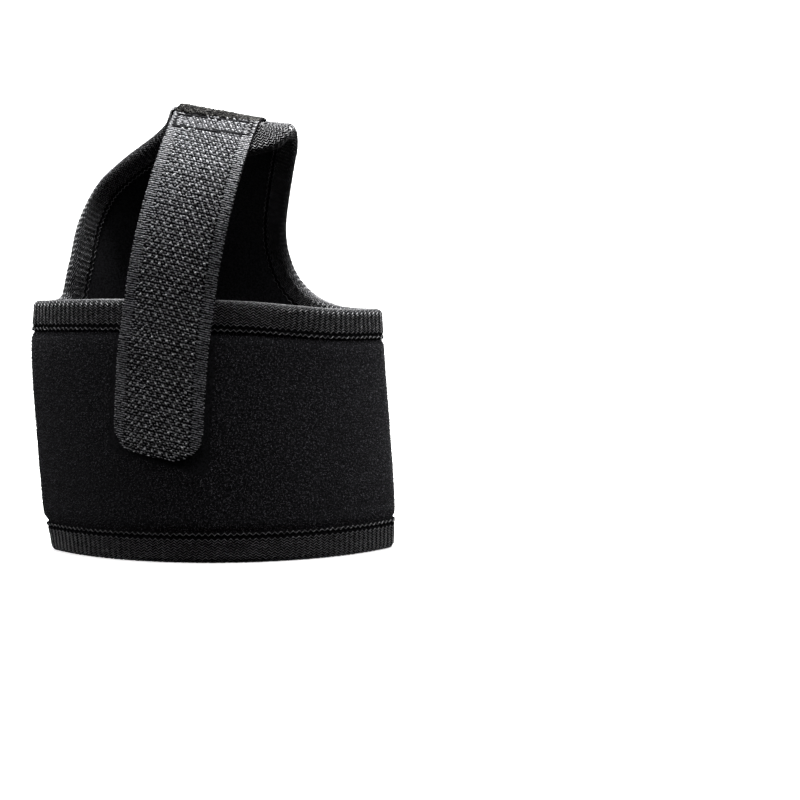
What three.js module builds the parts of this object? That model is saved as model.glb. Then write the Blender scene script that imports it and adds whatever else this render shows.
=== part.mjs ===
// A wrist support: a foam cloth ring whose back rises into a tongue, with bound edges and a hook tape strap.
// Millimetres. The strap faces -Y, +Z is up along the wrist, and z = 0 is the rim that it stands on.
import * as THREE from "three";
import { mergeVertices } from "three/addons/utils/BufferGeometryUtils.js";

const { clamp, degToRad, lerp, smoothstep } = THREE.MathUtils;

// Ring: plan of the cloth's middle layer, two shallow arcs joined by tight folds at the sides
const BAND_HEIGHT = 70;
const HALF_WIDTH = 46.7;
const HALF_DEPTH = 25.6;
const SIDE_FOLD_RADIUS = 5;

// Cloth and binding tape
const CLOTH = 2.8;
const TAPE = 0.5;
const TAPE_LEAF = 8.5;
const TAPE_GAP = 0.4;
const EDGE_INSET = TAPE + TAPE_GAP;
const TAPE_FLAT_SHARE = 0.8;
const TAPE_SHOULDER_SHARE = 0.3;

// Tongue: a long lean forward, then a tight fold, as angles from upright
const LEAN_RADIUS = 53.8;
const LEAN_ANGLE = degToRad(62);
const FOLD_RADIUS = 6;
const FOLD_ANGLE = degToRad(135);

// The fold's line drops towards +X, turns towards the front there, and keeps part of the ring's bow
const FOLD_SLANT = 0.2;
const SLANT_EASES_OVER = 88;
const SLANT_BUILDS_UP_IN = 25;
const FOLD_YAW = 0.3;
const FOLD_BOW = 0.5;

// Strap: where it starts and leaves the fold, where it meets the front, and how it lies there
const STRAP_WIDTH = 24.6;
const STRAP = 1.0;
const STRAP_GAP = 0.3;
const STRAP_CORNER = 8;
const STRAP_FOLD_X = 4.2;
const STRAP_START_PAST_FOLD = -1.5;
const STRAP_LEAVES_PAST_FOLD = 9;
const STRAP_MEETS_ABOVE_TOP = 2;
const STRAP_FRONT_ROUND = -8.1;
const STRAP_DRIFT = 0.125;
const STRAP_END_HEIGHT = 27.9;
const STRAP_STEP_STARTS_UNDER_TAPE = 1;
const STRAP_STEP_LENGTH = 6;

// The ring's sideways position and size at some heights
const RING_LEVELS = [
  { height: 0, centre: 3.3, width: 0.98, depth: 1.0 },
  { height: 3, centre: 3.3, width: 0.98, depth: 1.0 },
  { height: 12, centre: 2.4, width: 1.004, depth: 1.01 },
  { height: 35, centre: 0.9, width: 1.006, depth: 1.015 },
  { height: 55, centre: -0.3, width: 1.0, depth: 1.005 },
  { height: 70, centre: -0.2, width: 0.981, depth: 1.0 },
];

// The front's top edge: round is the way round the band from the middle of the front, towards +X
const FRONT_TOP = [
  { round: -56, height: 69.3 },
  { round: -30, height: 70 },
  { round: 0, height: 70 },
  { round: 14, height: 69.4 },
  { round: 26, height: 68.3 },
  { round: 38, height: 67.3 },
  { round: 56, height: 66.9 },
];

// The tongue's edges on the unbent cloth: round is the way round from the middle of the back, towards +X
const TONGUE_LEFT = [
  { round: -56, height: 69.3 },
  { round: -52, height: 69.3 },
  { round: -49.4, height: 69.5 },
  { round: -47.4, height: 70.2 },
  { round: -46.3, height: 72 },
  { round: -45.3, height: 76.5 },
  { round: -44, height: 82 },
  { round: -41.7, height: 91.9 },
  { round: -35.6, height: 102.8 },
  { round: -27.2, height: 111 },
  { round: -21.6, height: 115.8 },
  { round: -16.2, height: 120.8 },
  { round: -12.4, height: 126 },
  { round: -10.8, height: 131 },
  { round: -9.8, height: 136 },
];
const TONGUE_RIGHT = [
  { round: 56, height: 66.9 },
  { round: 47, height: 67 },
  { round: 39.9, height: 67.6 },
  { round: 33, height: 69.6 },
  { round: 28, height: 73 },
  { round: 24.4, height: 77.4 },
  { round: 22.2, height: 84 },
  { round: 21.9, height: 91 },
  { round: 23, height: 99 },
  { round: 24.9, height: 110 },
  { round: 26.4, height: 118 },
  { round: 25.8, height: 124.5 },
  { round: 21.5, height: 132 },
  { round: 15, height: 140 },
];

// How finely the pieces are faceted
const HALF_COLUMNS = 26;
const RING_ROWS = [0, 0.05, 0.2, 0.6, 1];
const FULL_RING_HEIGHT = 58;
const SHOULDER_ROWS = 2;
const TONGUE_ROWS = 32;
const TONGUE_FOOT_LEFT = -50;
const TONGUE_FOOT_RIGHT = 32;
const UPPER_STEPS = 108;
const LOWER_STEPS = 56;
const STRANDS = 6;
const STRAND_CROWDING = 0.75;
const STRAP_ON_FOLD = 6;
const STRAP_FREE = 14;
const STRAP_ON_FRONT = 12;
const EDGE_FINENESS = 16;
const FRONT_EDGE_COLUMNS = 104;
const BEND_REACH = 5;
const WALK_STEP = 2;
const SLOPE_STEP = 0.02;
const MERGE_DISTANCE = 1e-4;
const ROUNDING = 1e-6;

const COLOURS = { cloth: 0x17171a, tape: 0x2b2b2d, strap: 0x55555b };

// Ring plan: radius and reach of the two arcs that meet the side folds smoothly
const foldX = HALF_WIDTH - SIDE_FOLD_RADIUS;
const arcRadius =
  (foldX ** 2 + HALF_DEPTH ** 2 - SIDE_FOLD_RADIUS ** 2) / (2 * (HALF_DEPTH - SIDE_FOLD_RADIUS));
const arcCentre = arcRadius - HALF_DEPTH;
const arcReach = Math.atan2(foldX, arcCentre);
const arcLength = arcRadius * arcReach;
const foldLength = SIDE_FOLD_RADIUS * (Math.PI - 2 * arcReach);
const halfRound = 2 * arcLength + foldLength;
const sideRound = arcLength + foldLength / 2;

const wrapped = (round) => round - 2 * halfRound * Math.round(round / (2 * halfRound));

function planPoint(round) {
  const way = Math.abs(round);
  const side = Math.sign(round);
  if (way <= arcLength) {
    const turn = way / arcRadius;
    return [side * arcRadius * Math.sin(turn), arcRadius * Math.cos(turn) - arcCentre];
  }
  if (way <= arcLength + foldLength) {
    const turn = arcReach + (way - arcLength) / SIDE_FOLD_RADIUS;
    return [side * (foldX + SIDE_FOLD_RADIUS * Math.sin(turn)), SIDE_FOLD_RADIUS * Math.cos(turn)];
  }
  const turn = (halfRound - way) / arcRadius;
  return [side * arcRadius * Math.sin(turn), arcCentre - arcRadius * Math.cos(turn)];
}

// A table's row at a value of its key column, smooth between rows and level past the ends
function tableAt(table, key, value) {
  const last = table.length - 1;
  const at = clamp(value, table[0][key], table[last][key]);
  let i = 0;
  while (i < last - 1 && at > table[i + 1][key]) {
    i += 1;
  }
  const part = (at - table[i][key]) / (table[i + 1][key] - table[i][key]);
  return smoothRow(table, i, part);
}

function smoothRow(table, i, part) {
  const last = table.length - 1;
  const row = {};
  for (const column of Object.keys(table[0])) {
    const before = table[Math.max(i - 1, 0)][column];
    const from = table[i][column];
    const to = table[Math.min(i + 1, last)][column];
    const after = table[Math.min(i + 2, last)][column];
    const leave = (to - before) / 2;
    const arrive = (after - from) / 2;
    const bend = 3 * (to - from) - 2 * leave - arrive;
    const curl = leave + arrive - 2 * (to - from);
    row[column] = from + part * (leave + part * (bend + part * curl));
  }
  return row;
}

// How far the tongue has come forward and up after some length of cloth above the band
function lean(length) {
  if (length <= 0) {
    return { forward: 0, rise: length };
  }
  const leanLength = LEAN_RADIUS * LEAN_ANGLE;
  if (length <= leanLength) {
    const angle = length / LEAN_RADIUS;
    return { forward: LEAN_RADIUS * (1 - Math.cos(angle)), rise: LEAN_RADIUS * Math.sin(angle) };
  }
  const turn = Math.min((length - leanLength) / FOLD_RADIUS, FOLD_ANGLE - LEAN_ANGLE);
  const angle = LEAN_ANGLE + turn;
  const start = lean(leanLength);
  const straight = Math.max(length - leanLength - FOLD_RADIUS * (FOLD_ANGLE - LEAN_ANGLE), 0);
  const bentForward = FOLD_RADIUS * (Math.cos(LEAN_ANGLE) - Math.cos(angle));
  const bentUp = FOLD_RADIUS * (Math.sin(angle) - Math.sin(LEAN_ANGLE));
  return {
    forward: start.forward + bentForward + straight * Math.sin(angle),
    rise: start.rise + bentUp + straight * Math.cos(angle),
  };
}
const foldTop = LEAN_RADIUS * LEAN_ANGLE + FOLD_RADIUS * (Math.PI / 2 - LEAN_ANGLE);

// How far the fold's line has dropped at x, less and less towards +X
const slantAt = (x) => FOLD_SLANT * (x - Math.max(x, 0) ** 2 / SLANT_EASES_OVER);

// A point of the cloth's middle layer, from its place on the unbent cloth
function clothPoint({ round, height }) {
  const level = tableAt(RING_LEVELS, "height", height);
  const way = wrapped(round);
  const [planX, planY] = planPoint(way);
  const x = level.centre + level.width * planX;
  const above = height - BAND_HEIGHT;
  if (above <= 0 || Math.abs(way) > sideRound + ROUNDING) {
    return new THREE.Vector3(x, level.depth * planY, height);
  }
  const slant = slantAt(x) * smoothstep(above, 0, SLANT_BUILDS_UP_IN);
  const bent = lean(above + slant);
  const share = smoothstep(above, 0, foldTop);
  const bow = (planY - HALF_DEPTH) * (1 - (1 - FOLD_BOW) * share);
  const yaw = FOLD_YAW * x * share;
  const y = HALF_DEPTH + bow - yaw - bent.forward;
  return new THREE.Vector3(x, y, BAND_HEIGHT + bent.rise - slant);
}

function clothFrame(place) {
  const { round, height } = place;
  const ahead = clothPoint({ round: round + SLOPE_STEP, height });
  const behind = clothPoint({ round: round - SLOPE_STEP, height });
  const above = clothPoint({ round, height: height + SLOPE_STEP });
  const below = clothPoint({ round, height: height - SLOPE_STEP });
  const across = ahead.sub(behind).divideScalar(2 * SLOPE_STEP);
  const up = above.sub(below).divideScalar(2 * SLOPE_STEP);
  const outward = new THREE.Vector3().crossVectors(up, across).normalize();
  return { across, up, outward };
}

function offCloth(place, distance) {
  return clothPoint(place).addScaledVector(clothFrame(place).outward, distance);
}

// The place reached by going straight over the cloth from a place, in a direction in space
function walk(place, direction, distance) {
  const steps = Math.max(1, Math.ceil(distance / WALK_STEP));
  const step = distance / steps;
  const heading = direction.clone();
  let here = { ...place };
  for (let i = 0; i < steps; i += 1) {
    const { across, up, outward } = clothFrame(here);
    heading.addScaledVector(outward, -heading.dot(outward)).normalize();
    const aa = across.dot(across);
    const au = across.dot(up);
    const uu = up.dot(up);
    const ha = heading.dot(across);
    const hu = heading.dot(up);
    const det = aa * uu - au * au;
    here = {
      round: here.round + (step * (ha * uu - hu * au)) / det,
      height: here.height + (step * (hu * aa - ha * au)) / det,
    };
  }
  return here;
}

// Into the cloth from an edge, across the line through its neighbours; the cloth is on the right of the way
function inwardAt(edge, i, closed) {
  const count = edge.length;
  const next = closed ? (i + 1) % count : Math.min(i + 1, count - 1);
  const previous = closed ? (i + count - 1) % count : Math.max(i - 1, 0);
  const along = clothPoint(edge[next]).sub(clothPoint(edge[previous]));
  const { outward } = clothFrame(edge[i]);
  return new THREE.Vector3().crossVectors(along, outward).normalize();
}

// A smooth edge through a table's rows
function edgeThrough(table) {
  const rows = [];
  for (let i = 0; i < table.length - 1; i += 1) {
    for (let j = 0; j < EDGE_FINENESS; j += 1) {
      rows.push(smoothRow(table, i, j / EDGE_FINENESS));
    }
  }
  rows.push({ ...table[table.length - 1] });
  return rows;
}

// Steps along an edge that are equal where they are widest: off the cloth in bends, inside it in corners
function evenSteps(rows, steps) {
  const spread = rows.map((place, i) => {
    const inside = walk(place, inwardAt(rows, i, false), TAPE_LEAF);
    return [offCloth(place, BEND_REACH), offCloth(place, -BEND_REACH), clothPoint(inside)];
  });
  const lengths = [0];
  for (let i = 1; i < rows.length; i += 1) {
    const widest = Math.max(...spread[i].map((point, k) => point.distanceTo(spread[i - 1][k])));
    lengths.push(lengths[i - 1] + widest);
  }
  const total = lengths[lengths.length - 1];
  const places = [];
  let i = 0;
  for (let k = 0; k <= steps; k += 1) {
    const want = (total * k) / steps;
    while (i < rows.length - 2 && lengths[i + 1] < want) {
      i += 1;
    }
    const part = (want - lengths[i]) / (lengths[i + 1] - lengths[i]);
    places.push(placeBetween(rows[i], rows[i + 1], part));
  }
  return places;
}

function placeBetween(from, to, part) {
  return { round: lerp(from.round, to.round, part), height: lerp(from.height, to.height, part) };
}

function insetEdge(edge, distance) {
  return edge.map((place, i) => walk(place, inwardAt(edge, i, false), distance));
}

// Ways from the left side to the right one, closer together in the side folds
function sideToSide(columns) {
  const stretched = arcLength + foldLength;
  const ways = [];
  for (let i = 0; i <= columns; i += 1) {
    const want = lerp(-stretched, stretched, i / columns);
    const over = Math.max(Math.abs(want) - arcLength, 0);
    ways.push(Math.sign(want) * (Math.abs(want) - over / 2));
  }
  return ways;
}

// A row of places round the front, at heights given by the way from the middle of the front
function frontRow(columns, heightAt) {
  return sideToSide(columns).map((fromFront) => {
    return { round: -halfRound - fromFront, height: heightAt(fromFront) };
  });
}

const topHeight = (fromFront) => tableAt(FRONT_TOP, "round", fromFront).height;

// A closed solid from triangles and quads, seen anticlockwise from outside
class Skin {
  positions = [];

  triangle(...corners) {
    corners.forEach((p) => this.positions.push(p.x, p.y, p.z));
  }

  quad(a, b, c, d) {
    this.triangle(a, b, c);
    this.triangle(a, c, d);
  }

  solid() {
    const loose = new THREE.BufferGeometry();
    loose.setAttribute("position", new THREE.Float32BufferAttribute(this.positions, 3));
    const geometry = mergeVertices(loose, MERGE_DISTANCE);
    geometry.computeVertexNormals();
    return geometry;
  }
}

// Both faces of the cloth over a net of places, and the rim between the faces along an edge of it
const bothFaces = (place) => ({ out: offCloth(place, CLOTH / 2), in: offCloth(place, -CLOTH / 2) });

function addPatch(skin, rows) {
  for (let j = 0; j < rows.length - 1; j += 1) {
    for (let i = 0; i < rows[j].length - 1; i += 1) {
      const a = rows[j][i];
      const b = rows[j][i + 1];
      const c = rows[j + 1][i + 1];
      const d = rows[j + 1][i];
      skin.quad(a.out, b.out, c.out, d.out);
      skin.quad(a.in, d.in, c.in, b.in);
    }
  }
}

function addRim(skin, edge) {
  for (let i = 0; i < edge.length - 1; i += 1) {
    skin.quad(edge[i].out, edge[i + 1].out, edge[i + 1].in, edge[i].in);
  }
}

// The height at a share of the way from the full ring up to the cloth's edge at the front or a side
function shoulderHeight(part, fromFront) {
  return lerp(FULL_RING_HEIGHT, topHeight(fromFront) - EDGE_INSET, part);
}

// The cloth's cut edges, set in from the tape's, from the ring's sides to the tongue's end
const leftCut = insetEdge(edgeThrough(TONGUE_LEFT).reverse(), EDGE_INSET).reverse();
const rightCut = insetEdge(edgeThrough(TONGUE_RIGHT), EDGE_INSET);

// A cut edge from where it first comes within a way round of the middle of the back
function cutFrom(cut, way) {
  const reached = cut.findIndex((place) => Math.abs(place.round) <= Math.abs(way));
  const i = Math.max(reached, 1);
  const part = (way - cut[i - 1].round) / (cut[i].round - cut[i - 1].round);
  return [placeBetween(cut[i - 1], cut[i], part), ...cut.slice(i)];
}

function nearestColumn(ways, wanted) {
  const misses = ways.map((way) => Math.abs(way - wanted));
  return misses.indexOf(Math.min(...misses));
}

// The ring below its full height, and the front above it
function addRingAndFront(skin, ways) {
  const ringHeights = RING_ROWS.map((part) => lerp(EDGE_INSET, FULL_RING_HEIGHT, part));
  const ringBack = ringHeights.map((height) => ways.map((round) => bothFaces({ round, height })).reverse());
  const ringFront = ringHeights.map((height) => frontRow(HALF_COLUMNS, () => height).map(bothFaces));
  addPatch(skin, ringBack);
  addPatch(skin, ringFront);
  addRim(skin, [...ringBack[0]].reverse());
  addRim(skin, [...ringFront[0]].reverse());

  const frontRows = [];
  for (let j = 0; j <= SHOULDER_ROWS; j += 1) {
    const heightAt = (fromFront) => shoulderHeight(j / SHOULDER_ROWS, fromFront);
    frontRows.push(frontRow(HALF_COLUMNS, heightAt).map(bothFaces));
  }
  addPatch(skin, frontRows);
  addRim(skin, frontRows[SHOULDER_ROWS]);
}

// The back above the ring's full height, up to its cut edges and to a line across the tongue's foot
function addShoulders(skin, ways, corners) {
  const [leftFoot, rightFoot] = corners.places;
  const tops = ways.map((way, i) => {
    if (i === 0 || i === HALF_COLUMNS) {
      return shoulderHeight(1, way);
    }
    if (i < corners.left || i > corners.right) {
      return cutFrom(way < 0 ? leftCut : rightCut, way)[0].height;
    }
    const part = (way - leftFoot.round) / (rightFoot.round - leftFoot.round);
    return lerp(leftFoot.height, rightFoot.height, part);
  });
  const rows = [];
  for (let j = 0; j <= SHOULDER_ROWS; j += 1) {
    const places = ways.map((round, i) => {
      return { round, height: lerp(FULL_RING_HEIGHT, tops[i], j / SHOULDER_ROWS) };
    });
    rows.push(places.map(bothFaces).reverse());
  }
  addPatch(skin, rows);
  const top = rows[SHOULDER_ROWS];
  addRim(skin, top.slice(0, HALF_COLUMNS - corners.right + 1));
  addRim(skin, top.slice(HALF_COLUMNS - corners.left));
  return top.slice(HALF_COLUMNS - corners.right, HALF_COLUMNS - corners.left + 1);
}

// The tongue, from the row across its foot to its end
function addTongue(skin, foot, leftEdge, rightEdge) {
  const left = evenSteps([...leftEdge].reverse(), TONGUE_ROWS).reverse();
  const right = evenSteps(rightEdge, TONGUE_ROWS);
  const columns = foot.length - 1;
  const rows = [foot];
  for (let j = 1; j <= TONGUE_ROWS; j += 1) {
    rows.push(foot.map((_, i) => bothFaces(placeBetween(right[j], left[j], i / columns))));
  }
  addPatch(skin, rows);
  addRim(skin, rows.map((row) => row[0]));
  addRim(skin, rows[TONGUE_ROWS]);
  addRim(skin, rows.map((row) => row[columns]).reverse());
}

function bandSolid() {
  const skin = new Skin();
  const ways = sideToSide(HALF_COLUMNS);
  const left = nearestColumn(ways, TONGUE_FOOT_LEFT);
  const right = nearestColumn(ways, TONGUE_FOOT_RIGHT);
  const leftEdge = cutFrom(leftCut, ways[left]);
  const rightEdge = cutFrom(rightCut, ways[right]);
  addRingAndFront(skin, ways);
  const foot = addShoulders(skin, ways, { left, right, places: [leftEdge[0], rightEdge[0]] });
  addTongue(skin, foot, leftEdge, rightEdge);
  return skin.solid();
}

// The folded tape's section: how far off the cloth's middle and how far in from the edge, round its outside
// from leaf to leaf and back along its inside
function tapeSection() {
  const inside = CLOTH / 2 + TAPE_GAP;
  const outside = inside + TAPE;
  const flat = outside * TAPE_FLAT_SHARE;
  const shoulder = outside * TAPE_SHOULDER_SHARE;
  return [
    { off: outside, into: TAPE_LEAF },
    { off: outside, into: TAPE_LEAF / 2 },
    { off: outside, into: shoulder },
    { off: flat, into: 0 },
    { off: -flat, into: 0 },
    { off: -outside, into: shoulder },
    { off: -outside, into: TAPE_LEAF / 2 },
    { off: -outside, into: TAPE_LEAF },
    { off: -inside, into: TAPE_LEAF },
    { off: -inside, into: TAPE_LEAF / 2 },
    { off: -inside, into: TAPE },
    { off: inside, into: TAPE },
    { off: inside, into: TAPE_LEAF / 2 },
    { off: inside, into: TAPE_LEAF },
  ];
}

// For each corner on the section's outside, the one across from it on the inside
const ACROSS_TAPE = [13, 12, 11, 11, 10, 10, 9, 8];

function tapeSolid(edge, closed) {
  const skin = new Skin();
  const section = tapeSection();
  const count = edge.length;
  const loops = edge.map((place, i) => {
    const direction = inwardAt(edge, i, closed);
    return section.map(({ off, into }) => offCloth(walk(place, direction, into), off));
  });
  const runs = closed ? count : count - 1;
  for (let i = 0; i < runs; i += 1) {
    const here = loops[i];
    const next = loops[(i + 1) % count];
    for (let k = 0; k < section.length; k += 1) {
      const m = (k + 1) % section.length;
      skin.quad(here[k], next[k], next[m], here[m]);
    }
  }
  if (!closed) {
    addTapeEnd(loops[0], (a, b, c) => skin.triangle(a, b, c));
    addTapeEnd(loops[count - 1], (a, b, c) => skin.triangle(a, c, b));
  }
  return skin.solid();
}

// Closes an end of the tape with triangles across its section
function addTapeEnd(loop, triangle) {
  for (let k = 0; k < ACROSS_TAPE.length - 1; k += 1) {
    const m = ACROSS_TAPE[k];
    const n = ACROSS_TAPE[k + 1];
    triangle(loop[k], loop[k + 1], loop[n]);
    if (m !== n) {
      triangle(loop[k], loop[n], loop[m]);
    }
  }
}

// Down the tongue's left edge, along the front's top and up the tongue's right edge
function upperEdge() {
  const left = edgeThrough(TONGUE_LEFT).reverse();
  const front = frontRow(FRONT_EDGE_COLUMNS, topHeight);
  const right = edgeThrough(TONGUE_RIGHT).map(({ round, height }) => {
    return { round: round - 2 * halfRound, height };
  });
  return evenSteps([...left, ...front.slice(1), ...right.slice(1)], UPPER_STEPS);
}

// Round the bottom edge
function lowerEdge() {
  const ways = sideToSide(LOWER_STEPS / 2);
  const back = ways.map((round) => ({ round, height: 0 }));
  const front = ways.map((way) => ({ round: halfRound + way, height: 0 }));
  return [...back.slice(1), ...front.slice(1)];
}

// The strap's middle layer lies this far off the cloth's, on tape and on bare cloth
const overTape = CLOTH / 2 + TAPE_GAP + TAPE + STRAP_GAP + STRAP / 2;
const overCloth = CLOTH / 2 + STRAP_GAP + STRAP / 2;
const foldLineLength = Math.hypot(1, FOLD_SLANT, FOLD_YAW);

// A place on the fold, by the way across the strap and the way past the fold's top
function strapOnFold(across, past) {
  const x = STRAP_FOLD_X + across / foldLineLength - FOLD_SLANT * Math.max(past, 0);
  const top = RING_LEVELS[RING_LEVELS.length - 1];
  const round = arcRadius * Math.asin((x - top.centre) / (top.width * arcRadius));
  return { round, height: BAND_HEIGHT + foldTop + past - slantAt(x) };
}

// A place on the front, by the way across the strap and the height
function strapOnFront(across, height) {
  const onCloth = across / (1 + overCloth / arcRadius);
  const fromFront = STRAP_FRONT_ROUND + onCloth - STRAP_DRIFT * (BAND_HEIGHT - height);
  return { round: -halfRound - fromFront, height };
}

function strapOffFront(height) {
  const stepTop = BAND_HEIGHT - TAPE_LEAF - STRAP_STEP_STARTS_UNDER_TAPE;
  const share = smoothstep(height, stepTop - STRAP_STEP_LENGTH, stepTop);
  return lerp(overCloth, overTape, share);
}

// The height of the strap's rounded end
function strapEnd(across) {
  const intoCorner = Math.max(Math.abs(across) - (STRAP_WIDTH / 2 - STRAP_CORNER), 0);
  const rounding = STRAP_CORNER - Math.sqrt(STRAP_CORNER ** 2 - intoCorner ** 2);
  return STRAP_END_HEIGHT - STRAP_DRIFT * across + rounding;
}

// An easy curve from the fold to the front, along the strap's way at both ends
function strapFreeCurve(across, meets) {
  const onFold = (past) => offCloth(strapOnFold(across, past), overTape);
  const onFront = (height) => offCloth(strapOnFront(across, height), overTape);
  const from = onFold(STRAP_LEAVES_PAST_FOLD);
  const to = onFront(meets);
  const third = from.distanceTo(to) / 3;
  const leave = onFold(STRAP_LEAVES_PAST_FOLD + SLOPE_STEP).sub(from).setLength(third).add(from);
  const arrive = onFront(meets + SLOPE_STEP).sub(to).setLength(third).add(to);
  return new THREE.CubicBezierCurve3(from, leave, arrive, to);
}

// One strand along the strap's middle layer: on the fold, over the gap and down the front
function strand(across) {
  const meets = BAND_HEIGHT + STRAP_MEETS_ABOVE_TOP;
  const points = [];
  for (let i = 0; i < STRAP_ON_FOLD; i += 1) {
    const past = lerp(STRAP_START_PAST_FOLD, STRAP_LEAVES_PAST_FOLD, i / STRAP_ON_FOLD);
    points.push(offCloth(strapOnFold(across, past), overTape));
  }
  const free = strapFreeCurve(across, meets);
  for (let i = 0; i < STRAP_FREE; i += 1) {
    points.push(free.getPoint(i / STRAP_FREE));
  }
  for (let i = 0; i <= STRAP_ON_FRONT; i += 1) {
    const height = lerp(meets, strapEnd(across), i / STRAP_ON_FRONT);
    points.push(offCloth(strapOnFront(across, height), strapOffFront(height)));
  }
  return points;
}

// Strands from the strap's left edge to its right one, closer together near the edges
function strapStrands() {
  const strands = [];
  for (let k = 0; k <= STRANDS; k += 1) {
    const even = (2 * k) / STRANDS - 1;
    const share = lerp(even, Math.sin((even * Math.PI) / 2), STRAND_CROWDING);
    strands.push(strand((share * STRAP_WIDTH) / 2));
  }
  return strands;
}

function strapSolid() {
  const skin = new Skin();
  const strands = strapStrands();
  const last = strands[0].length - 1;
  const faceOff = (off) => strands.map((points, k) => points.map((point, i) => {
    const left = strands[Math.max(k - 1, 0)][i];
    const right = strands[Math.min(k + 1, STRANDS)][i];
    const across = right.clone().sub(left);
    const down = points[Math.min(i + 1, last)].clone().sub(points[Math.max(i - 1, 0)]);
    const normal = down.cross(across).normalize();
    return point.clone().addScaledVector(normal, off);
  }));
  const outer = faceOff(STRAP / 2);
  const inner = faceOff(-STRAP / 2);
  for (let k = 0; k < STRANDS; k += 1) {
    for (let i = 0; i < last; i += 1) {
      skin.quad(outer[k][i], outer[k][i + 1], outer[k + 1][i + 1], outer[k + 1][i]);
      skin.quad(inner[k][i], inner[k + 1][i], inner[k + 1][i + 1], inner[k][i + 1]);
    }
    skin.quad(outer[k][0], outer[k + 1][0], inner[k + 1][0], inner[k][0]);
    skin.quad(outer[k][last], inner[k][last], inner[k + 1][last], outer[k + 1][last]);
  }
  for (let i = 0; i < last; i += 1) {
    skin.quad(outer[0][i], inner[0][i], inner[0][i + 1], outer[0][i + 1]);
    skin.quad(outer[STRANDS][i], outer[STRANDS][i + 1], inner[STRANDS][i + 1], inner[STRANDS][i]);
  }
  return skin.solid();
}

function piece(name, geometry, finish, color) {
  const material = new THREE.MeshStandardMaterial({ name: finish, color, roughness: 0.9 });
  const mesh = new THREE.Mesh(geometry, material);
  mesh.name = name;
  return mesh;
}

const pieces = new THREE.Group();
pieces.add(piece("wrist_band", bandSolid(), "loop_cloth", COLOURS.cloth));
pieces.add(piece("upper_binding", tapeSolid(upperEdge(), false), "zigzag_tape", COLOURS.tape));
pieces.add(piece("lower_binding", tapeSolid(lowerEdge(), true), "zigzag_tape", COLOURS.tape));
pieces.add(piece("hook_strap", strapSolid(), "hook_tape", COLOURS.strap));

// The origin is under the middle of the whole
const middle = new THREE.Box3().setFromObject(pieces).getCenter(new THREE.Vector3());
pieces.position.set(-middle.x, -middle.y, 0);

const wristband = new THREE.Group();
wristband.name = "compression_wristband";
wristband.add(pieces);

export default wristband;
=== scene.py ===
"""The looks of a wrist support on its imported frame: loop cloth over foam, zigzag binding tape and hook tape.

Lengths are millimetres until a mesh is made. A place on the cloth is (round, height): the way round the band
from the middle of the back towards +X, and the height on the unbent cloth.
"""
import math

import bpy
import numpy as np
from mathutils import Matrix, Vector, kdtree


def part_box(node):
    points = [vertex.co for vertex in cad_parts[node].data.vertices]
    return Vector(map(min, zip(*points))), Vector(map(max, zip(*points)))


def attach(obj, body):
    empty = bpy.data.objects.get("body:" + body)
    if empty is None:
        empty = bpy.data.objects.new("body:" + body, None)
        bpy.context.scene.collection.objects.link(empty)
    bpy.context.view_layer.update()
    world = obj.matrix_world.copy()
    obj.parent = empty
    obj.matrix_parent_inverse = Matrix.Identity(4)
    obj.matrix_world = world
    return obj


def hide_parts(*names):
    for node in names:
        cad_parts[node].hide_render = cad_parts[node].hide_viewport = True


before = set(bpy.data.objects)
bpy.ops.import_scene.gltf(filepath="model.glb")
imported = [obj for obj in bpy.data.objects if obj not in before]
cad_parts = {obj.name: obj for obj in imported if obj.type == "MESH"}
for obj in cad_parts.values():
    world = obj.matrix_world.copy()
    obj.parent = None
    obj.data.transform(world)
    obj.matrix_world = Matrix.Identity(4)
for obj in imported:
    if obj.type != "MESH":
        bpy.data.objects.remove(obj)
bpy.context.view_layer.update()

MM = 0.001
random = np.random.default_rng(5)

# Ring: plan of the cloth's middle layer, two shallow arcs joined by tight folds at the sides
BAND_HEIGHT = 70.0
HALF_WIDTH = 46.7
HALF_DEPTH = 25.6
SIDE_FOLD_RADIUS = 5.0

# Cloth and binding tape
CLOTH = 2.8
TAPE = 0.5
TAPE_LEAF = 8.5
TAPE_GAP = 0.4
EDGE_INSET = TAPE + TAPE_GAP

# Tongue: a long lean forward, then a tight fold, as angles from upright
LEAN_RADIUS = 53.8
LEAN_ANGLE = math.radians(62)
FOLD_RADIUS = 6.0
FOLD_ANGLE = math.radians(135)
FOLD_SLANT = 0.2
SLANT_EASES_OVER = 120.0
SLANT_BUILDS_UP_IN = 25.0
FOLD_YAW = 0.3
FOLD_BOW = 0.5

# Strap
STRAP_WIDTH = 24.6
STRAP = 1.0
STRAP_GAP = 0.3
STRAP_CORNER = 8.0
STRAP_FOLD_X = 4.2
STRAP_START_PAST_FOLD = -1.5
STRAP_LEAVES_PAST_FOLD = 9.0
STRAP_MEETS_ABOVE_TOP = 2.0
STRAP_FRONT_ROUND = -8.1
STRAP_DRIFT = 0.125
STRAP_END_HEIGHT = 27.9
STRAP_STEP_STARTS_UNDER_TAPE = 1.0
STRAP_STEP_LENGTH = 12.0

# The ring at some heights: height, sideways centre, share of the width, share of the depth
RING_LEVELS = np.array([
    (0, 3.3, 0.98, 1.0),
    (3, 3.3, 0.98, 1.0),
    (12, 2.4, 1.004, 1.01),
    (35, 0.9, 1.006, 1.015),
    (55, -0.3, 1.0, 1.005),
    (70, -0.2, 0.981, 1.0),
])

# The front's top edge: way round from the middle of the front, height
FRONT_TOP = np.array([
    (-56, 69.3), (-30, 70), (0, 70), (14, 69.4), (26, 68.3), (38, 67.3), (56, 66.9),
])

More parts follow.
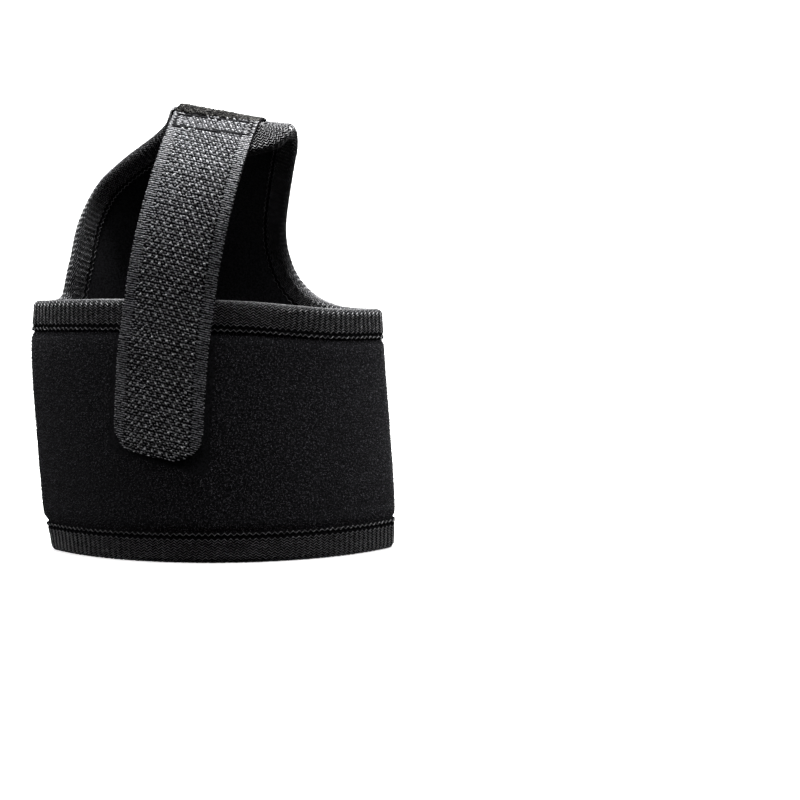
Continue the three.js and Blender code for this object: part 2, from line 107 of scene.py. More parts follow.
# The tongue's edges on the unbent cloth: way round from the middle of the back, height
TONGUE_LEFT = np.array([
    (-56, 69.3), (-52, 69.3), (-49.4, 69.5), (-47.4, 70.2), (-46.3, 72), (-45.3, 76.5), (-44, 82),
    (-41.7, 91.9), (-35.6, 102.8), (-27.2, 111), (-21.6, 115.8), (-16.2, 120.8), (-12.4, 126), (-10.8, 131),
    (-9.8, 136),
])
TONGUE_RIGHT = np.array([
    (56, 66.9), (47, 67), (39.9, 67.6), (33, 69.6), (28, 73), (24.4, 77.4), (22.2, 84), (21.9, 91), (23, 99),
    (24.9, 110), (26.2, 118), (26, 125), (24.4, 131.5), (20.5, 137), (15, 141),
])
TAPE_RUNS_UNDER_STRAP_TO = (10.5, 144)

# Worked out from the sizes above
FOLD_X = HALF_WIDTH - SIDE_FOLD_RADIUS
ARC_RADIUS = (FOLD_X**2 + HALF_DEPTH**2 - SIDE_FOLD_RADIUS**2) / (2 * (HALF_DEPTH - SIDE_FOLD_RADIUS))
ARC_CENTRE = ARC_RADIUS - HALF_DEPTH
ARC_REACH = math.atan2(FOLD_X, ARC_CENTRE)
ARC_LENGTH = ARC_RADIUS * ARC_REACH
FOLD_LENGTH = SIDE_FOLD_RADIUS * (math.pi - 2 * ARC_REACH)
HALF_ROUND = 2 * ARC_LENGTH + FOLD_LENGTH
SIDE_ROUND = HALF_ROUND / 2
LEAN_LENGTH = LEAN_RADIUS * LEAN_ANGLE
FOLD_TOP = LEAN_LENGTH + FOLD_RADIUS * (math.pi / 2 - LEAN_ANGLE)
TAPE_OUTSIDE = CLOTH / 2 + TAPE_GAP + TAPE
OVER_TAPE = TAPE_OUTSIDE + STRAP_GAP + STRAP / 2
PLUMP = 0.7
OVER_CLOTH = CLOTH / 2 + PLUMP + STRAP / 2
FOLD_LINE_LENGTH = math.hypot(1, FOLD_SLANT, FOLD_YAW)
SLOPE_STEP = 0.02


# Small helpers for arrays of numbers, points and faces
TINY = 1e-12


def lerp(start, end, part):
    return start + (end - start) * part


def smoothstep(value, low, high):
    part = np.clip((value - low) / (high - low), 0, 1)
    return part * part * (3 - 2 * part)


def unit(vectors):
    return vectors / np.maximum(np.linalg.norm(vectors, axis=-1, keepdims=True), TINY)


def dot(a, b):
    return (a * b).sum(axis=-1)


def stacked(*columns):
    return np.stack(np.broadcast_arrays(*columns), axis=-1)


def grid_faces(rows, columns, first=0, around=False, wrap_rows=False):
    """Quads over a grid of rows x columns points; around joins the last column to the first."""
    i = np.arange(rows if wrap_rows else rows - 1)[:, None]
    j = np.arange(columns if around else columns - 1)[None, :]
    i_next = (i + 1) % rows
    j_next = (j + 1) % columns
    quads = stacked(i * columns + j, i * columns + j_next, i_next * columns + j_next, i_next * columns + j)
    return first + quads.reshape(-1, 4)


def many_grids(count, rows, columns, around=False, wrap_rows=False):
    """Quads over count separate grids of rows x columns points, one after the other."""
    one = grid_faces(rows, columns, around=around, wrap_rows=wrap_rows)
    firsts = np.arange(count) * rows * columns
    return (firsts[:, None, None] + one[None]).reshape(-1, 4)


def tube_faces(count, rings, sides):
    """Faces of count closed tubes, each of some rings of points."""
    firsts = np.arange(count)[:, None] * rings * sides
    start = firsts + np.arange(sides)[::-1]
    end = firsts + (rings - 1) * sides + np.arange(sides)
    return [many_grids(count, rings, sides, around=True), np.vstack([start, end])]


def sheet_faces(rows, columns, closed=False):
    """Faces of a thin sheet, each of whose rows runs over its upper side and back under it."""
    size = 2 * columns
    around = grid_faces(rows, size, around=True, wrap_rows=closed)[:, ::-1]
    if closed:
        return around
    k = np.arange(columns - 1)
    first = stacked(k, k + 1, size - 2 - k, size - 1 - k)
    last = stacked(k, size - 1 - k, size - 2 - k, k + 1) + (rows - 1) * size
    return np.vstack([around, first, last])


def lengths_along(points):
    return np.r_[0, np.cumsum(np.linalg.norm(np.diff(points, axis=0), axis=1))]


def resampled(rows, lengths, at):
    """Rows of numbers at other lengths along them."""
    return stacked(*(np.interp(at, lengths, column) for column in rows.T))


SHORT_OF_LAST = 1.001


def off_net(points, normals, i, j, off, wrap=False):
    """Points off a net, at rows i and columns j that may lie between its own."""
    rows, columns = points.shape[:2]
    if not wrap:
        i = np.clip(i, 0, rows - SHORT_OF_LAST)
    j = np.clip(j, 0, columns - SHORT_OF_LAST)
    i0 = np.floor(i).astype(int)
    j0 = np.floor(j).astype(int)
    i_part = (i - i0)[..., None]
    j_part = (j - j0)[..., None]
    i0 %= rows
    i1 = (i0 + 1) % rows

    def mixed(net):
        near = lerp(net[i0, j0], net[i1, j0], i_part)
        far = lerp(net[i0, j0 + 1], net[i1, j0 + 1], i_part)
        return lerp(near, far, j_part)

    return mixed(points) + off[..., None] * unit(mixed(normals))


# The cloth's middle layer
def smooth_rows(table, i, part):
    last = len(table) - 1
    before = table[np.maximum(i - 1, 0)]
    start = table[i]
    end = table[np.minimum(i + 1, last)]
    after = table[np.minimum(i + 2, last)]
    leave = (end - before) / 2
    arrive = (after - start) / 2
    bend = 3 * (end - start) - 2 * leave - arrive
    curl = leave + arrive - 2 * (end - start)
    part = part[..., None]
    return start + part * (leave + part * (bend + part * curl))


def table_at(table, value):
    """A table's rows at values of its first column, smooth between rows and level past the ends."""
    keys = table[:, 0]
    at = np.clip(value, keys[0], keys[-1])
    i = np.clip(np.searchsorted(keys, at) - 1, 0, len(table) - 2)
    return smooth_rows(table, i, (at - keys[i]) / (keys[i + 1] - keys[i]))


def plan_point(way):
    far = np.abs(way)
    back = far / ARC_RADIUS
    fold = ARC_REACH + (far - ARC_LENGTH) / SIDE_FOLD_RADIUS
    front = (HALF_ROUND - far) / ARC_RADIUS
    on = [far <= ARC_LENGTH, far <= ARC_LENGTH + FOLD_LENGTH]
    x = np.select(on, [ARC_RADIUS * np.sin(back), FOLD_X + SIDE_FOLD_RADIUS * np.sin(fold)],
                  ARC_RADIUS * np.sin(front))
    y = np.select(on, [ARC_RADIUS * np.cos(back) - ARC_CENTRE, SIDE_FOLD_RADIUS * np.cos(fold)],
                  ARC_CENTRE - ARC_RADIUS * np.cos(front))
    return np.sign(way) * x, y


def lean(length):
    """How far the tongue has come forward and up after some length of cloth above the band."""
    angle = np.clip(length / LEAN_RADIUS, 0, LEAN_ANGLE)
    turned = LEAN_ANGLE + np.clip((length - LEAN_LENGTH) / FOLD_RADIUS, 0, FOLD_ANGLE - LEAN_ANGLE)
    straight = np.maximum(length - LEAN_LENGTH - FOLD_RADIUS * (FOLD_ANGLE - LEAN_ANGLE), 0)
    forward = LEAN_RADIUS * (1 - np.cos(angle)) + FOLD_RADIUS * (math.cos(LEAN_ANGLE) - np.cos(turned))
    rise = LEAN_RADIUS * np.sin(angle) + FOLD_RADIUS * (np.sin(turned) - math.sin(LEAN_ANGLE))
    return forward + straight * np.sin(turned), rise + straight * np.cos(turned) + np.minimum(length, 0)


def slant_at(x):
    return FOLD_SLANT * (x - np.maximum(x, 0) ** 2 / SLANT_EASES_OVER)


def cloth_point(place):
    way = place[..., 0] - 2 * HALF_ROUND * np.round(place[..., 0] / (2 * HALF_ROUND))
    height = place[..., 1]
    level = table_at(RING_LEVELS, height)
    plan_x, plan_y = plan_point(way)
    x = level[..., 1] + level[..., 2] * plan_x
    above = height - BAND_HEIGHT
    ring = stacked(x, level[..., 3] * plan_y, height)
    slant = slant_at(x) * smoothstep(above, 0, SLANT_BUILDS_UP_IN)
    forward, rise = lean(above + slant)
    share = smoothstep(above, 0, FOLD_TOP)
    bow = (plan_y - HALF_DEPTH) * (1 - (1 - FOLD_BOW) * share)
    y = HALF_DEPTH + bow - FOLD_YAW * x * share - forward
    tongue = stacked(x, y, BAND_HEIGHT + rise - slant)
    on_ring = (above <= 0) | (np.abs(way) > SIDE_ROUND + SLOPE_STEP / 2)
    return np.where(on_ring[..., None], ring, tongue)


def cloth_frame(place):
    """How the point moves with the way round and the height, and the way outward."""
    aside = np.array([SLOPE_STEP, 0.0])
    above = np.array([0.0, SLOPE_STEP])
    across = (cloth_point(place + aside) - cloth_point(place - aside)) / (2 * SLOPE_STEP)
    up = (cloth_point(place + above) - cloth_point(place - above)) / (2 * SLOPE_STEP)
    return across, up, unit(np.cross(up, across))


def off_cloth(place, distance):
    _, _, outward = cloth_frame(place)
    return cloth_point(place) + np.asarray(distance)[..., None] * outward


def walk(place, heading, distance):
    """The places reached by going a short way over the cloth, and the headings there."""
    across, up, outward = cloth_frame(place)
    heading = unit(heading - dot(heading, outward)[..., None] * outward)
    aa, au, uu = dot(across, across), dot(across, up), dot(up, up)
    ha, hu = dot(heading, across), dot(heading, up)
    step = distance / (aa * uu - au * au)
    return place + stacked(step * (ha * uu - hu * au), step * (hu * aa - ha * au)), heading


# The edges that the tape is folded over
EDGE_FINENESS = 16
FRONT_EDGE_POINTS = 300
LOWER_EDGE_POINTS = 800
STATION = 0.4
INTO_FROM = -2.5
INTO_STEP = 0.5
INTO_COUNT = 34
TANGENT_STATIONS = 3


def edge_through(table):
    i, j = np.divmod(np.arange((len(table) - 1) * EDGE_FINENESS), EDGE_FINENESS)
    return np.vstack([smooth_rows(table, i, j / EDGE_FINENESS), table[-1:]])


def top_height(from_front):
    return table_at(FRONT_TOP, from_front)[..., 1]


def upper_edge():
    """Down the tongue's left edge, along the front's top and up the tongue's right edge."""
    from_front = np.linspace(-SIDE_ROUND, SIDE_ROUND, FRONT_EDGE_POINTS)
    front = stacked(-HALF_ROUND - from_front, top_height(from_front))
    once_round = np.array([2 * HALF_ROUND, 0])
    right = edge_through(np.vstack([TONGUE_RIGHT, TAPE_RUNS_UNDER_STRAP_TO])) - once_round
    return np.vstack([edge_through(TONGUE_LEFT)[::-1], front[1:], right[1:]])


def lower_edge():
    return stacked(np.linspace(0, 2 * HALF_ROUND, LOWER_EDGE_POINTS), 0.0)


class Strip:
    """The cloth along an edge, by the way along it, the way in from it and the way off the cloth."""

    def __init__(self, rows, closed, splay=0.0, spread=0.0):
        self.closed = closed
        self.splay = splay
        self.spread = spread
        lengths = lengths_along(cloth_point(rows))
        self.length = lengths[-1]
        self.count = round(self.length / STATION) + (0 if closed else 1)
        self.step = self.length / (self.count if closed else self.count - 1)
        stations = np.arange(self.count) * self.step
        places = resampled(rows, lengths, stations)
        self.edge = cloth_point(places)
        heading = self.inward(places)
        places, heading = walk(places, heading, INTO_FROM)
        net = [places]
        for _ in range(INTO_COUNT - 1):
            places, heading = walk(places, heading, INTO_STEP)
            net.append(places)
        net = np.stack(net, axis=1)
        self.points = cloth_point(net)
        self.normals = cloth_frame(net)[2]

    def inward(self, places):
        i = np.arange(self.count)
        ahead, behind = i + TANGENT_STATIONS, i - TANGENT_STATIONS
        if self.closed:
            along = self.edge[ahead % self.count] - self.edge[behind % self.count]
        else:
            last = self.count - 1
            along = self.edge[np.minimum(ahead, last)] - self.edge[np.maximum(behind, 0)]
        return unit(np.cross(along, cloth_frame(places)[2]))

    def at(self, along, into, off):
        along, into, off = np.broadcast_arrays(along, into, off)
        column = (into - INTO_FROM) / INTO_STEP
        return off_net(self.points, self.normals, along / self.step, column, off, wrap=self.closed)


# Pieces
def finish_piece(name, points, faces, material):
    """A mesh piece that rides on the body; points in millimetres on the cloth's own middle."""
    mesh = bpy.data.meshes.new(name)
    groups = [np.asarray(f) for f in (faces if isinstance(faces, list) else [faces])]
    loops = np.concatenate([f.ravel() for f in groups])
    sizes = np.concatenate([np.full(len(f), f.shape[1]) for f in groups])
    mesh.vertices.add(len(points))
    mesh.vertices.foreach_set("co", ((points + origin_shift) * MM).ravel())
    mesh.loops.add(len(loops))
    mesh.loops.foreach_set("vertex_index", loops)
    mesh.polygons.add(len(sizes))
    mesh.polygons.foreach_set("loop_start", np.r_[0, np.cumsum(sizes)[:-1]])
    mesh.polygons.foreach_set("use_smooth", np.ones(len(sizes), bool))
    mesh.update(calc_edges=True)
    mesh.materials.append(material)
    piece = bpy.data.objects.new(name, mesh)
    bpy.context.scene.collection.objects.link(piece)
    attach(piece, "root")
    return piece


# Where the frame has the band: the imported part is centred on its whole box
WHOLE_RING_BELOW = 58.0
ROUND_SAMPLES = 1200
HEIGHT_SAMPLES = 60


def band_shift():
    round_way = np.linspace(-HALF_ROUND, HALF_ROUND, ROUND_SAMPLES)
    heights = np.linspace(EDGE_INSET, WHOLE_RING_BELOW, HEIGHT_SAMPLES)
    ring = off_cloth(stacked(*np.meshgrid(round_way, heights)), CLOTH / 2).reshape(-1, 3)
    low, high = (np.array(corner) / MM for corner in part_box("wrist_band"))
    shift_x = (low[0] + high[0] - ring[:, 0].min() - ring[:, 0].max()) / 2
    shift_y = high[1] - ring[:, 1].max()
    return np.array([shift_x, shift_y, 0.0])


origin_shift = band_shift()


# Materials
class Nodes:
    """A material's node tree with short ways to add what the cloths share."""

    def __init__(self, name):
        self.material = bpy.data.materials.new(name)
        self.material.use_nodes = True
        self.tree = self.material.node_tree
        self.shader = self.tree.nodes["Principled BSDF"]
        self.where = self.add("ShaderNodeTexCoord").outputs["Object"]

    def add(self, kind, **values):
        node = self.tree.nodes.new(kind)
        for name, value in values.items():
            if name in node.inputs:
                node.inputs[name].default_value = value
            else:
                setattr(node, name, value)
        return node

    def link(self, output, socket):
        self.tree.links.new(output, socket)

    def noise(self, grain, detail=2.0):
        """Noise with lumps about grain millimetres wide."""
        node = self.add("ShaderNodeTexNoise", Scale=1 / (grain * MM), Detail=detail, Roughness=0.6)
        self.link(self.where, node.inputs["Vector"])
        return node.outputs["Fac"]

    def ramp(self, value, start, end):
        """A colour that goes with a value from one (position, colour) to another."""
        node = self.add("ShaderNodeValToRGB")
        for element, (position, colour) in zip(node.color_ramp.elements, (start, end)):
            element.position = position
            element.color = (*colour, 1.0)
        self.link(value, node.inputs["Fac"])
        return node.outputs["Color"]

    def bump(self, value, height):
        node = self.add("ShaderNodeBump", Strength=1.0, Distance=height * MM)
        self.link(value, node.inputs["Height"])
        self.link(node.outputs["Normal"], self.shader.inputs["Normal"])

    def set(self, **values):
        for name, value in values.items():
            self.shader.inputs[name.replace("_", " ")].default_value = value


FINE_DETAIL = 3.0
CLOTH_SHEEN_ROUGHNESS = 0.4


def cloth_material(name, dark, light, grain, roughness, bump, specular, sheen=0.0, span=(0.35, 0.65)):
    """A cloth whose colour wanders between two tones in grains of a size, with a bumped surface."""
    nodes = Nodes(name)
    tone = nodes.ramp(nodes.noise(grain), (span[0], dark), (span[1], light))
    nodes.link(tone, nodes.shader.inputs["Base Color"])
    nodes.bump(nodes.noise(grain / 2, FINE_DETAIL), bump)
    nodes.set(Roughness=roughness, Specular_IOR_Level=specular)
    nodes.set(Sheen_Weight=sheen, Sheen_Roughness=CLOTH_SHEEN_ROUGHNESS)
    return nodes.material


loop_cloth = cloth_material(
    "loop_cloth", dark=(0.010, 0.010, 0.012), light=(0.038, 0.038, 0.043),
    grain=0.5, roughness=0.95, bump=0.15, specular=0.1, sheen=0.1,
)
loop_yarn = cloth_material(
    "loop_yarn", dark=(0.03, 0.03, 0.034), light=(0.23, 0.23, 0.258),
    grain=0.8, roughness=0.7, bump=0.05, specular=0.3, sheen=0.2,
)
# Painted shade: the tape's ground is black yarn, made darker still so that it also stands in for the shade in
# the gaps between the zigzag rows
tape_ground_and_painted_shade = cloth_material(
    "tape_ground_and_painted_shade", dark=(0.003, 0.003, 0.0035), light=(0.006, 0.006, 0.007),
    grain=0.5, roughness=0.9, bump=0.05, specular=0.1,
)
tape_yarn = cloth_material(
    "tape_yarn", dark=(0.015, 0.015, 0.016), light=(0.25, 0.25, 0.263),
    grain=0.5, roughness=0.4, bump=0.04, specular=0.75, span=(0.4, 0.66),
)
thread = cloth_material(
    "thread", dark=(0.003, 0.003, 0.004), light=(0.007, 0.007, 0.009),
    grain=0.4, roughness=0.7, bump=0.03, specular=0.1,
)
# Painted shade: the strap's ground is black, made near-black so that it also stands in for the shade in the
# gaps between the yarn floats
strap_ground_and_painted_shade = cloth_material(
    "strap_ground_and_painted_shade", dark=(0.005, 0.005, 0.006), light=(0.012, 0.012, 0.014),
    grain=0.5, roughness=0.9, bump=0.05, specular=0.1,
)
# Partly painted highlight: the floats' tone wanders at random, and its light end is lifted well above the
# black nylon's own grey to stand in for the gloss that the overhead light gives them
strap_yarn_and_painted_highlight = cloth_material(
    "strap_yarn_and_painted_highlight", dark=(0.03, 0.03, 0.033), light=(0.52, 0.52, 0.555),
    grain=0.5, roughness=0.36, bump=0.03, specular=1.0, span=(0.36, 0.66),
)
# Painted glints: near-white, where the real monofilament is black nylon; the colour stands in for the
# highlights that its glossy loops catch, and the hooks use it too
filament_painted_glint = cloth_material(
    "filament_painted_glint", dark=(0.65, 0.65, 0.67), light=(0.9, 0.9, 0.93),
    grain=0.9, roughness=0.25, bump=0.01, specular=1.0,
)
cut_yarn = cloth_material(
    "cut_yarn", dark=(0.003, 0.003, 0.003), light=(0.26, 0.25, 0.23),
    grain=0.5, roughness=0.8, bump=0.05, specular=0.2, span=(0.52, 0.72),
)

# The binding tape: a smooth ground folded over the edge, and rows of zigzag yarn raised on it
INNER_LEAF_SHARE = 0.75
FLAP_BEGINS = 20.0
FLAP_FULL = 12.0
FLAP_SPLAY = 1.5
FLAP_SPREAD = 0.6
RIDGE = 0.28
GROUND_OFF = TAPE_OUTSIDE - RIDGE
GROUND_THICK = 0.24
TAPE_CORNER = 1.5
TAPE_STRAIGHT = TAPE_LEAF - TAPE_CORNER - RIDGE
TAPE_ARC = TAPE_CORNER * math.pi / 2
TAPE_FLAT = 2 * (GROUND_OFF - TAPE_CORNER)
TAPE_ACROSS = 2 * TAPE_STRAIGHT + 2 * TAPE_ARC + TAPE_FLAT
TAPE_COLUMNS = 48
GROOVE = 1.5
GROOVE_HALF = 0.22
GROOVE_DEPTH = 0.14
SELVEDGE_ROW = 0.55
FIRST_ROW = 2.1
ROW_PITCH = 0.72
ZIGZAG_PERIOD = 1.63
ZIGZAG_REACH = 0.33
ZIGZAG = np.array([0, 1, 0, -1])
YARN_HALF = 0.14
YARN_ACROSS = np.array([-1, -0.45, 0.45, 1])
YARN_LIFT = np.array([-0.1, 1, 1, -0.1])
ZIGZAG_STRAYS = 0.04
ZIGZAG_SWELLS = (0.65, 1.0)


def tape_section(across, lift):
    """(way in from the edge, way off the cloth) at a way across the tape, raised above its ground."""
    half = TAPE_ACROSS / 2
    side = np.where(across <= half, 1.0, -1.0)
    way = np.where(across <= half, across, TAPE_ACROSS - across)
    turn = np.clip((way - TAPE_STRAIGHT) / TAPE_CORNER, 0, math.pi / 2)
    flat = np.maximum(way - TAPE_STRAIGHT - TAPE_ARC, 0)
    radius = TAPE_CORNER + lift
    off = GROUND_OFF - TAPE_CORNER + radius * np.cos(turn) - flat
    into = np.where(way <= TAPE_STRAIGHT, TAPE_LEAF - way, RIDGE + TAPE_CORNER - radius * np.sin(turn))
    return into, side * off


def on_tape(strip, along, across, lift):
    """Points on the tape, whose outer leaf spreads and reaches out as a flap at the strip's end."""
    into, off = tape_section(*np.broadcast_arrays(across, lift))
    on_flap = smoothstep(along, strip.length - FLAP_BEGINS, strip.length - FLAP_FULL)
    into = into * np.where(off > 0, 1 + strip.spread * on_flap, INNER_LEAF_SHARE)
    into = into - strip.splay * on_flap * off / TAPE_OUTSIDE
    return strip.at(along, into, off)


def tape_ground_piece(name, strip, node):
    """The tape's ground: a thin folded sheet with a groove where it is sewn down."""
    across = np.linspace(0, TAPE_ACROSS, TAPE_COLUMNS)
    from_edge = np.minimum(across, TAPE_ACROSS - across)
    groove = -GROOVE_DEPTH * np.exp(-(((from_edge - GROOVE) / GROOVE_HALF) ** 2))
    loop_across = np.r_[across, across[::-1]]
    loop_lift = np.r_[groove, np.full(len(across), -GROUND_THICK)]
    count = strip.count // 2
    along = np.arange(count) * strip.length / (count if strip.closed else count - 1)
    points = on_tape(strip, along[:, None], loop_across[None, :], loop_lift[None, :])
    faces = sheet_faces(count, TAPE_COLUMNS, strip.closed)
    # The ground's near-black colour carries painted shade for the gaps between the yarn rows
    piece = finish_piece(name, points.reshape(-1, 3), faces, tape_ground_and_painted_shade)
    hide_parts(node)
    return piece


def zigzag_rows():
    """Where the rows of yarn run across the tape: one in each selvedge, and the others between the seams."""
    inner = TAPE_ACROSS - 2 * FIRST_ROW
    rows = FIRST_ROW + np.linspace(0, inner, round(inner / ROW_PITCH) + 1)
    return np.r_[SELVEDGE_ROW, rows, TAPE_ACROSS - SELVEDGE_ROW]


def tape_weave_piece(name, strip):
    """Rows of yarn along the tape, each a ridge that runs in a zigzag."""
    rows = zigzag_rows()
    periods = round(strip.length / ZIGZAG_PERIOD)
    steps = len(ZIGZAG) * periods
    count = steps + (0 if strip.closed else 1)
    station = np.arange(count)
    strays = random.normal(0, ZIGZAG_STRAYS, (2, len(rows), count))
    swells = random.uniform(*ZIGZAG_SWELLS, (len(rows), count))
    along = station * strip.length / steps + strays[0]
    wave = ZIGZAG_REACH * ZIGZAG[station % len(ZIGZAG)] + strays[1]
    across = rows[:, None, None] + wave[..., None] + YARN_HALF * YARN_ACROSS
    across = np.clip(across, 0, TAPE_ACROSS)
    points = on_tape(strip, along[..., None], across, swells[..., None] * RIDGE * YARN_LIFT)
    faces = many_grids(len(rows), count, len(YARN_ACROSS), wrap_rows=strip.closed)[:, ::-1]
    return finish_piece(name, points.reshape(-1, 3), faces, tape_yarn)


# Stitches: short threads that dip at both ends
STITCH_PITCH = 2.6
STITCH_HALF = 1.08
STITCH_RADIUS = 0.16
STITCH_SHARES = np.array([-1, -0.7, 0, 0.7, 1])
STITCH_THICKNESS = np.array([0.35, 0.9, 1, 0.9, 0.35])
STITCH_SIDES = 6
STITCH_SUNK = 0.6


def stitch_rings():
    """How far along, aside and up each ring's points lie from a stitch's middle."""
    turn = np.arange(STITCH_SIDES) * 2 * math.pi / STITCH_SIDES
    thickness = STITCH_THICKNESS[:, None]
    aside = STITCH_RADIUS * thickness * np.cos(turn)
    up = STITCH_RADIUS * (thickness * (1 + np.sin(turn)) - STITCH_SUNK)
    along = np.broadcast_to(STITCH_HALF * STITCH_SHARES[:, None], aside.shape)
    return along, aside, up


def stitch_middles(length, pitch):
    """The middles of stitches that fill a length, about a pitch apart."""
    count = round(length / pitch)
    return ((np.arange(count) + 0.5) * length / count)[:, None, None]


def stitches_piece(name, sets):
    points = np.concatenate(sets)
    faces = tube_faces(len(points), len(STITCH_SHARES), STITCH_SIDES)
    return finish_piece(name, points.reshape(-1, 3), faces, thread)


def binding_stitches(name, strip):
    """A row of stitches in the groove of each leaf of the tape."""
    along, aside, up = stitch_rings()
    ways = stitch_middles(strip.length, STITCH_PITCH) + along
    lift = up - GROOVE_DEPTH / 2
    sets = [on_tape(strip, ways, groove + aside, lift) for groove in (GROOVE, TAPE_ACROSS - GROOVE)]
    return stitches_piece(name, sets)


# The strap
STRAP_STEP = 0.4
STRAP_STRANDS = 61
STRAP_COLUMNS = 49
STRAP_ROWS = 260
FOLD_POINTS = 40
FREE_POINTS = 80
FRONT_POINTS = 160
GROUND_UP = 0.30
GROUND_DOWN = -0.30
SETTLED = 0.45
SETTLED_TO = 9.0
SETTLED_ENDS = 17.0


def strap_on_fold(across, past):
    x = STRAP_FOLD_X + across / FOLD_LINE_LENGTH - FOLD_SLANT * np.maximum(past, 0)
    _, centre, width, _ = RING_LEVELS[-1]
    way = ARC_RADIUS * np.arcsin((x - centre) / (width * ARC_RADIUS))
    return stacked(way, BAND_HEIGHT + FOLD_TOP + past - slant_at(x))


def strap_on_front(across, height):
    aside = across / (1 + OVER_CLOTH / ARC_RADIUS)
    from_front = STRAP_FRONT_ROUND + aside - STRAP_DRIFT * (BAND_HEIGHT - height)
    return stacked(-HALF_ROUND - from_front, height)


def strap_off_front(height):
    step_top = BAND_HEIGHT - TAPE_LEAF - STRAP_STEP_STARTS_UNDER_TAPE
    return lerp(OVER_CLOTH, OVER_TAPE, smoothstep(height, step_top - STRAP_STEP_LENGTH, step_top))


def strap_end_height(across):
    into_corner = np.maximum(np.abs(across) - (STRAP_WIDTH / 2 - STRAP_CORNER), 0)
    rounding = STRAP_CORNER - np.sqrt(STRAP_CORNER**2 - into_corner**2)
    return STRAP_END_HEIGHT - STRAP_DRIFT * across + rounding


class Strap:
    """The strap's middle layer, by the way across it, the way along it and the lift off it."""

    def __init__(self):
        self.across = np.linspace(-STRAP_WIDTH / 2, STRAP_WIDTH / 2, STRAP_STRANDS)
        across = self.across[:, None]
        past = np.linspace(STRAP_START_PAST_FOLD, STRAP_LEAVES_PAST_FOLD, FOLD_POINTS)[None, :-1]
        meets = BAND_HEIGHT + STRAP_MEETS_ABOVE_TOP
        lowest = STRAP_END_HEIGHT - STRAP_DRIFT * STRAP_WIDTH
        heights = np.linspace(meets, lowest, FRONT_POINTS)[None, :]
        on_fold = self.off_fold(across, past)
        on_front = off_cloth(strap_on_front(across, heights), strap_off_front(heights))
        points = np.concatenate([on_fold, self.free(across, meets), on_front], axis=1)
        steps = np.linalg.norm(np.diff(points, axis=1), axis=2)
        lengths = np.concatenate([np.zeros((STRAP_STRANDS, 1)), np.cumsum(steps, axis=1)], axis=1)
        first_on_front = points.shape[1] - FRONT_POINTS
        ends = strap_end_height(self.across)
        self.end = np.array([
            np.interp(-end, -heights[0], row[first_on_front:]) for end, row in zip(ends, lengths)
        ])
        self.meets = lengths[:, first_on_front].mean()
        ways = np.arange(0, lengths[:, -1].min(), STRAP_STEP)
        self.points = np.stack([resampled(line, row, ways) for row, line in zip(lengths, points)])
        aside, along = np.gradient(self.points, axis=(0, 1))
        self.normals = unit(np.cross(along, aside))
        settled = SETTLED * (1 - smoothstep(ways, SETTLED_TO, SETTLED_ENDS))
        self.points = self.points - settled[:, None] * self.normals

    @staticmethod
    def off_fold(across, past):
        return off_cloth(strap_on_fold(across, past), OVER_TAPE)

    def free(self, across, meets):
        """An easy curve from the fold to the front, along the strap's way at both ends."""
        start = self.off_fold(across, np.array([[STRAP_LEAVES_PAST_FOLD]]))
        ahead = self.off_fold(across, np.array([[STRAP_LEAVES_PAST_FOLD + SLOPE_STEP]]))
        end = off_cloth(strap_on_front(across, np.array([[meets]])), OVER_TAPE)
        above = off_cloth(strap_on_front(across, np.array([[meets + SLOPE_STEP]])), OVER_TAPE)
        third = np.linalg.norm(end - start, axis=-1, keepdims=True) / 3
        leave = start + third * unit(ahead - start)
        arrive = end + third * unit(above - end)
        t = np.linspace(0, 1, FREE_POINTS)[None, :-1, None]
        s = 1 - t
        return s**3 * start + 3 * s * s * t * leave + 3 * s * t * t * arrive + t**3 * end

    def end_at(self, across):
        return np.interp(across, self.across, self.end)

    def at(self, across, along, lift):
        across, along, lift = np.broadcast_arrays(across, along, lift)
        strand = (across / STRAP_WIDTH + 0.5) * (STRAP_STRANDS - 1)
        return off_net(self.points, self.normals, strand, along / STRAP_STEP, lift)


def strap_ground_piece(strap):
    """The strap's ground: a thin sheet with a rounded end."""
    across = np.linspace(-STRAP_WIDTH / 2, STRAP_WIDTH / 2, STRAP_COLUMNS)[None, :]
    along = np.linspace(0, 1, STRAP_ROWS)[:, None] * strap.end_at(across)
    upper = strap.at(across, along, GROUND_UP)
    lower = strap.at(across, along, GROUND_DOWN)[:, ::-1]
    points = np.concatenate([upper, lower], axis=1)
    faces = sheet_faces(STRAP_ROWS, STRAP_COLUMNS)
    # The ground's near-black colour carries painted shade for the gaps between the yarn
    piece = finish_piece("hook_tape", points.reshape(-1, 3), faces, strap_ground_and_painted_shade)
    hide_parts("hook_strap")
    return piece


# Yarn that shows on the strap: pillows set out in rows
PILLOW = np.array([-1, -0.5, 0.5, 1])
PILLOW_RISE = np.array([-0.15, 0.9, 0.9, -0.15])
YARN_STRAYS = 0.06
YARN_SIZES = (0.75, 1.15)
FRAYED_TO = 8.3
BOX_TOP = 9.0
BOX_BOTTOM = 14.2
BOX_SLOPE = -0.08
BOX_HALF = 10.9
BOX_PITCH = 2.2
SEAM_HALF = 0.45


def from_seam(middles):
    """How far places on the strap lie from the nearest line of the stitched box."""
    across, along = middles[:, 0], middles[:, 1] - BOX_SLOPE * middles[:, 0]
    beside = np.maximum(np.abs(across) - BOX_HALF, 0)
    past = np.maximum(np.maximum(BOX_TOP - along, along - BOX_BOTTOM), 0)
    outside = np.hypot(beside, past)
    inside = np.minimum(BOX_HALF - np.abs(across), np.minimum(along - BOX_TOP, BOX_BOTTOM - along))
    return np.where(outside > 0, outside, np.abs(inside))


